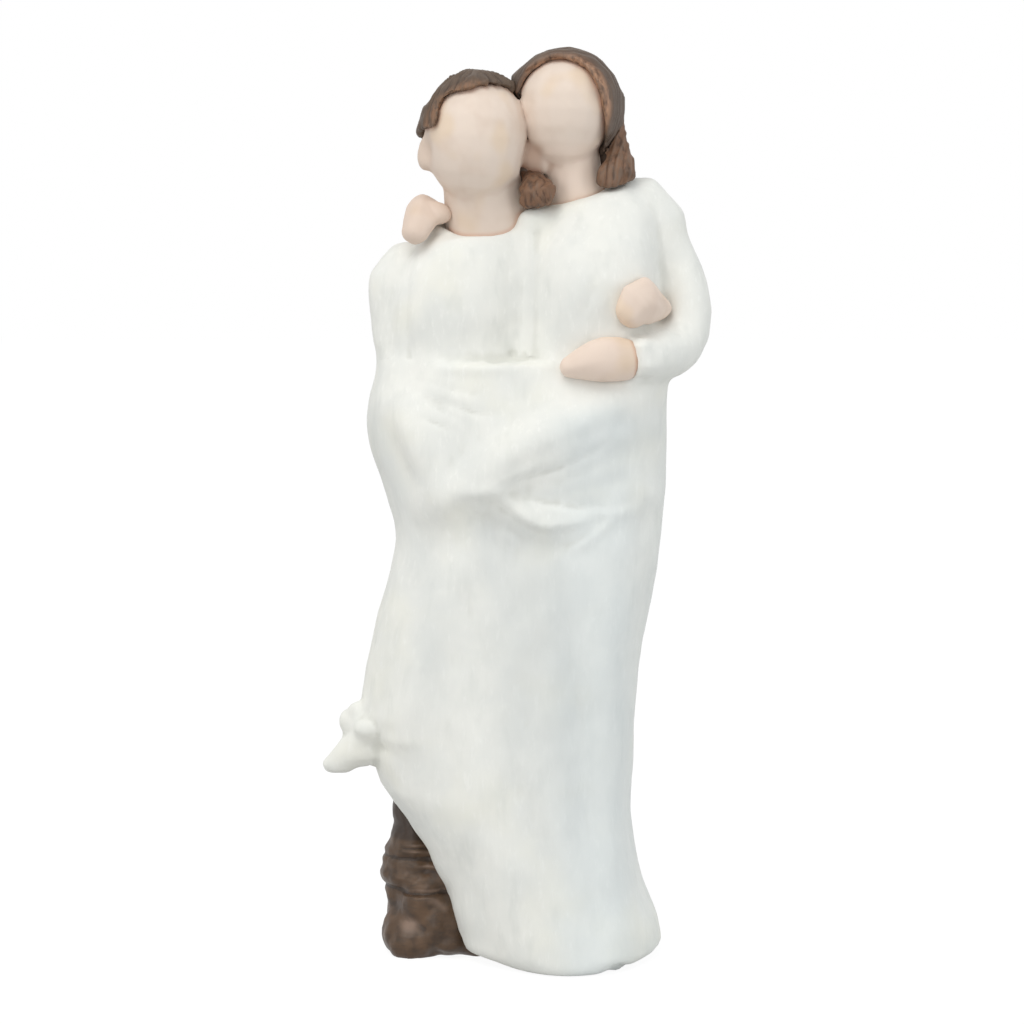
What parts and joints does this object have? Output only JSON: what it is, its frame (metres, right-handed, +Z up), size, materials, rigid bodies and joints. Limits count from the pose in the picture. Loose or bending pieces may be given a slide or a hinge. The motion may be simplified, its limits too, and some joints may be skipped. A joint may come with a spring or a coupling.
{
  "type": "wedding cake topper",
  "caption": "Free-standing painted figurine for the top of a cake: a faceless couple embrace inside one shared draped wrap.",
  "frame": {"origin": "under the middle of the part's box, on the surface it stands on", "axes": "+Z up; the couple faces -Y; +X is the taller figure's left side"},
  "size_m": [0.0644, 0.039, 0.1496],
  "materials": {
    "wrap_paint": "matte hand-brushed cream paint on cast resin",
    "clothes_paint": "matte hand-brushed cream paint on cast resin",
    "skin_paint": "matte pale skin paint with a faint pink wash",
    "short_hair_paint": "matte grey-brown paint, dry-brushed lighter",
    "long_hair_paint": "matte warm brown paint, dry-brushed lighter",
    "boot_paint": "satin dark brown paint with grey dry-brushed crests"
  },
  "bodies": {
    "root": {"shared_wrap": "wrap_paint", "taller_bodice": "clothes_paint", "shorter_shirt": "clothes_paint", "taller_left_sleeve": "clothes_paint", "taller_right_sleeve": "clothes_paint", "shorter_left_sleeve": "clothes_paint", "shorter_right_sleeve": "clothes_paint", "shorter_head": "skin_paint", "taller_head": "skin_paint", "taller_left_hand": "skin_paint", "taller_right_hand": "skin_paint", "shorter_left_hand": "skin_paint", "shorter_hair": "short_hair_paint", "taller_hair": "long_hair_paint", "taller_left_lock": "long_hair_paint", "taller_right_lock": "long_hair_paint", "shorter_right_leg": "boot_paint", "shorter_left_leg": "boot_paint", "shorter_right_shoe": "boot_paint", "shorter_left_shoe": "boot_paint"}
  },
  "joints": []
}
